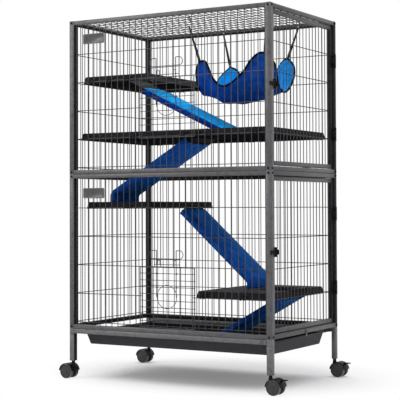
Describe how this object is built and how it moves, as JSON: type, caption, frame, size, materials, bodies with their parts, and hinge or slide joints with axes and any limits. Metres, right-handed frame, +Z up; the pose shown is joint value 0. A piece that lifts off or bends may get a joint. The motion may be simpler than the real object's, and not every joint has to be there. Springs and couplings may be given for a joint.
{
  "type": "ferret cage",
  "caption": "Two-storey wire cage for small animals on a wheeled stand, with shelves, covered ramps, a litter tray, side doors, small front doors and a hammock.",
  "frame": {"origin": "on the floor under the middle of the whole part's width and depth, casters and latches included", "axes": "+X to the right seen from the front with the small doors, +Y to the rear, +Z up"},
  "size_m": [0.8883, 0.5377, 1.26],
  "materials": {
    "wire": "satin black coat on steel wire",
    "stand": "hammertone grey coat on steel tube",
    "frame": "hammertone graphite coat on steel tube",
    "caster_plastic": "semi-gloss black",
    "bright_steel": "plain zinc plate",
    "fitting": "satin black coat",
    "shelf_plastic": "fine-grained dark moulding",
    "board_plastic": "fine-grained dark moulding",
    "cover_cloth": "blue fleece",
    "hammock_cloth": "blue fleece, paler inside, black edge",
    "strap_cloth": "black webbing"
  },
  "bodies": {
    "cage": {"stand_front": "stand", "stand_rear": "stand", "caster_stems": "caster_plastic", "lower_front_frame": "frame", "lower_rear_frame": "frame", "lower_left_frame": "frame", "lower_right_rails": "frame", "upper_front_frame": "frame", "upper_rear_frame": "frame", "upper_left_frame": "frame", "upper_right_rails": "frame", "lower_front_wires": "wire", "lower_rear_wires": "wire", "lower_left_wires": "wire", "upper_front_wires": "wire", "upper_rear_wires": "wire", "upper_left_wires": "wire", "roof_grid": "wire", "frame_bolts": "fitting", "name_plates": "frame", "top_shelf": "shelf_plastic", "full_shelf": "shelf_plastic", "left_shelf": "shelf_plastic", "right_shelf": "shelf_plastic", "top_ramp_board": "board_plastic", "middle_ramp_board": "board_plastic", "inner_ramp_board": "board_plastic", "low_ramp_board": "board_plastic", "top_ramp_cover": "cover_cloth", "middle_ramp_cover": "cover_cloth", "inner_ramp_cover": "cover_cloth", "low_ramp_cover": "cover_cloth", "hammock": "hammock_cloth", "hammock_straps": "strap_cloth", "snap_hooks": "bright_steel", "post_hinge_leaves": "fitting"},
    "swivel_front_left": {"caster_hood_front_left": "caster_plastic"},
    "swivel_front_right": {"caster_hood_front_right": "caster_plastic"},
    "swivel_rear_left": {"caster_hood_rear_left": "caster_plastic"},
    "swivel_rear_right": {"caster_hood_rear_right": "caster_plastic"},
    "wheels_front_left": {"caster_wheels_front_left": "caster_plastic"},
    "wheels_front_right": {"caster_wheels_front_right": "caster_plastic"},
    "wheels_rear_left": {"caster_wheels_rear_left": "caster_plastic"},
    "wheels_rear_right": {"caster_wheels_rear_right": "caster_plastic"},
    "pedal_front_right": {"brake_pedal_front_right": "caster_plastic"},
    "pedal_rear_right": {"brake_pedal_rear_right": "caster_plastic"},
    "tray": {"litter_tray": "shelf_plastic"},
    "tray_tab": {"tray_catch": "bright_steel"},
    "lower_side_door": {"lower_door_frame": "frame", "lower_door_wires": "wire", "lower_door_fittings": "fitting"},
    "lower_side_hook": {"lower_door_latch": "fitting"},
    "upper_side_door": {"upper_door_frame": "frame", "upper_door_wires": "wire", "upper_door_fittings": "fitting"},
    "upper_side_hook": {"upper_door_latch": "fitting"},
    "lower_front_door": {"lower_small_door": "wire"},
    "lower_front_latch": {"lower_small_latch": "wire"},
    "upper_front_door": {"upper_small_door": "wire"},
    "upper_front_latch": {"upper_small_latch": "wire"}
  },
  "joints": [
    {"name": "swivel_front_left", "type": "hinge", "parent": "cage", "child": "swivel_front_left", "pos_m": [-0.39629, -0.245, 0.06], "axis": [0, 0, 1], "continuous": true},
    {"name": "roll_front_left", "type": "hinge", "parent": "swivel_front_left", "child": "wheels_front_left", "pos_m": [-0.41429, -0.245, 0.025], "axis": [0, 1, 0], "continuous": true},
    {"name": "swivel_front_right", "type": "hinge", "parent": "cage", "child": "swivel_front_right", "pos_m": [0.38371, -0.245, 0.06], "axis": [0, 0, 1], "continuous": true},
    {"name": "roll_front_right", "type": "hinge", "parent": "swivel_front_right", "child": "wheels_front_right", "pos_m": [0.40171, -0.245, 0.025], "axis": [0, 1, 0], "continuous": true},
    {"name": "swivel_rear_left", "type": "hinge", "parent": "cage", "child": "swivel_rear_left", "pos_m": [-0.39779, 0.2465, 0.06], "axis": [0, 0, 1], "continuous": true},
    {"name": "roll_rear_left", "type": "hinge", "parent": "swivel_rear_left", "child": "wheels_rear_left", "pos_m": [-0.41579, 0.2465, 0.025], "axis": [0, 1, 0], "continuous": true},
    {"name": "swivel_rear_right", "type": "hinge", "parent": "cage", "child": "swivel_rear_right", "pos_m": [0.38521, 0.2465, 0.06], "axis": [0, 0, 1], "continuous": true},
    {"name": "roll_rear_right", "type": "hinge", "parent": "swivel_rear_right", "child": "wheels_rear_right", "pos_m": [0.40321, 0.2465, 0.025], "axis": [0, 1, 0], "continuous": true},
    {"name": "brake_front_right", "type": "hinge", "parent": "swivel_front_right", "child": "pedal_front_right", "pos_m": [0.42469, -0.245, 0.04798], "axis": [0, 1, 0], "range_deg": [0, 20]},
    {"name": "brake_rear_right", "type": "hinge", "parent": "swivel_rear_right", "child": "pedal_rear_right", "pos_m": [0.42619, 0.2465, 0.04798], "axis": [0, 1, 0], "range_deg": [0, 20]},
    {"name": "tray_slide", "type": "slide", "parent": "cage", "child": "tray", "axis": [1, 0, 0], "range_m": [0, 0.34]},
    {"name": "tray_tab_turn", "type": "hinge", "parent": "cage", "child": "tray_tab", "pos_m": [0.39541, -0.005, 0.1825], "axis": [1, 0, 0], "range_deg": [0, 90]},
    {"name": "lower_side_door_swing", "type": "hinge", "parent": "cage", "child": "lower_side_door", "pos_m": [0.39691, 0.23625, 0.445], "axis": [0, 0, 1], "range_deg": [0, 170]},
    {"name": "lower_side_hook_turn", "type": "hinge", "parent": "lower_side_door", "child": "lower_side_hook", "pos_m": [0.39561, -0.2255, 0.455], "axis": [0, 0, 1], "range_deg": [0, 100]},
    {"name": "upper_side_door_swing", "type": "hinge", "parent": "cage", "child": "upper_side_door", "pos_m": [0.39691, 0.23625, 0.9875], "axis": [0, 0, 1], "range_deg": [0, 170]},
    {"name": "upper_side_hook_turn", "type": "hinge", "parent": "upper_side_door", "child": "upper_side_hook", "pos_m": [0.39561, -0.2255, 0.9975], "axis": [0, 0, 1], "range_deg": [0, 100]},
    {"name": "lower_front_door_drop", "type": "hinge", "parent": "cage", "child": "lower_front_door", "pos_m": [-0.00329, -0.25, 0.1938], "axis": [1, 0, 0], "range_deg": [0, 90]},
    {"name": "lower_front_latch_slide", "type": "slide", "parent": "lower_front_door", "child": "lower_front_latch", "axis": [0, 0, 1], "range_m": [-0.022, 0], "stiffness_N_per_m": 100, "springref_m": 0.015},
    {"name": "upper_front_door_drop", "type": "hinge", "parent": "cage", "child": "upper_front_door", "pos_m": [-0.00329, -0.25, 0.8363], "axis": [1, 0, 0], "range_deg": [0, 165]},
    {"name": "upper_front_latch_slide", "type": "slide", "parent": "upper_front_door", "child": "upper_front_latch", "axis": [0, 0, 1], "range_m": [-0.022, 0], "stiffness_N_per_m": 100, "springref_m": 0.015}
  ]
}
